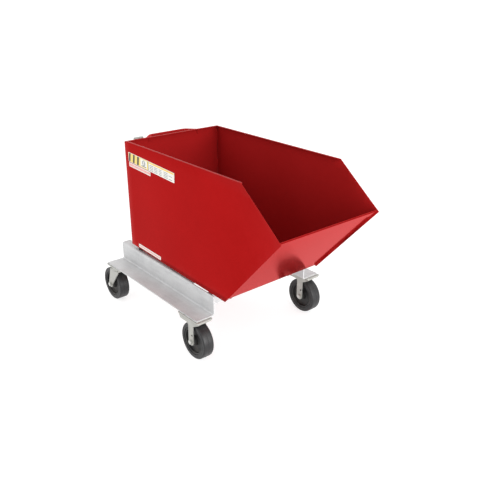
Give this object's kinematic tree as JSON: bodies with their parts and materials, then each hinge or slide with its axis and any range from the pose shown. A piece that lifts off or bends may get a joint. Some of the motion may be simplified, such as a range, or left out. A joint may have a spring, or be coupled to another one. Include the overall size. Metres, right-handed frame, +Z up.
{
  "type": "tilting bulk hopper cart",
  "caption": "Open sheet-steel hopper with a slanted pouring front, hinged at its front end on a rail frame with casters, and held down by a sprung latch bar at the back.",
  "frame": {"origin": "on the floor under the middle of the whole cart", "axes": "+X towards the pouring nose, +Y to the left side, +Z up"},
  "size_m": [1.172, 0.6972, 0.7848],
  "materials": {
    "red_powder_coat": "satin red powder coat on welded sheet steel",
    "mill_steel": "light grey rolled steel, dull, faintly mottled",
    "zinc_plate": "bright zinc-plated pressed steel",
    "zinc_fasteners": "zinc-plated turned steel",
    "bearing_steel": "polished steel balls",
    "bronze_bush": "plain turned bronze",
    "spring_wire": "plated spring wire",
    "black_rubber": "matt moulded rubber",
    "dark_tyre": "smooth dark moulded tread, low sheen",
    "dark_core": "dark moulded wheel centre"
  },
  "bodies": {
    "frame": {"right_rail": "mill_steel", "left_rail": "mill_steel", "front_cross_member": "mill_steel", "rear_cross_member": "mill_steel", "hinge_ears": "mill_steel", "hinge_pins": "zinc_fasteners", "hinge_cotters": "zinc_fasteners", "rest_bumpers": "black_rubber", "bumper_screws": "zinc_fasteners", "latch_keeper": "mill_steel", "front_caster_plates": "zinc_plate", "right_front_fork": "zinc_plate", "left_front_fork": "zinc_plate", "front_axle_bolts": "zinc_fasteners", "front_axle_nuts": "zinc_fasteners", "front_axle_sleeves": "zinc_fasteners", "rear_caster_plates": "zinc_plate", "king_pins": "zinc_fasteners", "king_pin_nuts": "zinc_fasteners"},
    "hopper": {"right_side_panel": "red_powder_coat", "left_side_panel": "red_powder_coat", "back_panel": "red_powder_coat", "floor_panel": "red_powder_coat", "front_panel": "red_powder_coat", "lip_bar": "red_powder_coat", "push_handle": "red_powder_coat", "hinge_lugs": "red_powder_coat", "hinge_bushes": "bronze_bush", "latch_bracket": "red_powder_coat", "latch_pin": "zinc_fasteners", "latch_spring": "spring_wire"},
    "latch": {"latch_bar": "zinc_plate", "latch_grip": "zinc_plate"},
    "right_rear_swivel": {"right_rear_fork": "zinc_plate", "right_rear_balls": "bearing_steel", "right_rear_axle_bolt": "zinc_fasteners", "right_rear_axle_nut": "zinc_fasteners", "right_rear_axle_sleeve": "zinc_fasteners"},
    "left_rear_swivel": {"left_rear_fork": "zinc_plate", "left_rear_balls": "bearing_steel", "left_rear_axle_bolt": "zinc_fasteners", "left_rear_axle_nut": "zinc_fasteners", "left_rear_axle_sleeve": "zinc_fasteners"},
    "right_front_wheel": {"right_front_tyre": "dark_tyre", "right_front_core": "dark_core"},
    "right_rear_wheel": {"right_rear_tyre": "dark_tyre", "right_rear_core": "dark_core"},
    "left_front_wheel": {"left_front_tyre": "dark_tyre", "left_front_core": "dark_core"},
    "left_rear_wheel": {"left_rear_tyre": "dark_tyre", "left_rear_core": "dark_core"}
  },
  "joints": [
    {"name": "hopper_tilt", "type": "hinge", "parent": "frame", "child": "hopper", "pos_m": [0.198, 0, 0.24773], "axis": [0, 1, 0], "range_deg": [0, 60]},
    {"name": "latch_release", "type": "hinge", "parent": "hopper", "child": "latch", "pos_m": [-0.451, -0.165, 0.41581], "axis": [0, -1, 0], "range_deg": [0, 10], "stiffness_Nm_per_rad": 4, "springref_deg": -11.46},
    {"name": "right_rear_swivel_turn", "type": "hinge", "parent": "frame", "child": "right_rear_swivel", "pos_m": [-0.462, -0.307, 0.165], "axis": [0, 0, 1], "continuous": true},
    {"name": "left_rear_swivel_turn", "type": "hinge", "parent": "frame", "child": "left_rear_swivel", "pos_m": [-0.462, 0.307, 0.165], "axis": [0, 0, 1], "continuous": true},
    {"name": "right_front_wheel_spin", "type": "hinge", "parent": "frame", "child": "right_front_wheel", "pos_m": [0.165, -0.307, 0.08], "axis": [0, 1, 0], "continuous": true},
    {"name": "right_rear_wheel_spin", "type": "hinge", "parent": "right_rear_swivel", "child": "right_rear_wheel", "pos_m": [-0.506, -0.307, 0.08], "axis": [0, 1, 0], "continuous": true},
    {"name": "left_front_wheel_spin", "type": "hinge", "parent": "frame", "child": "left_front_wheel", "pos_m": [0.165, 0.307, 0.08], "axis": [0, 1, 0], "continuous": true},
    {"name": "left_rear_wheel_spin", "type": "hinge", "parent": "left_rear_swivel", "child": "left_rear_wheel", "pos_m": [-0.506, 0.307, 0.08], "axis": [0, 1, 0], "continuous": true}
  ]
}
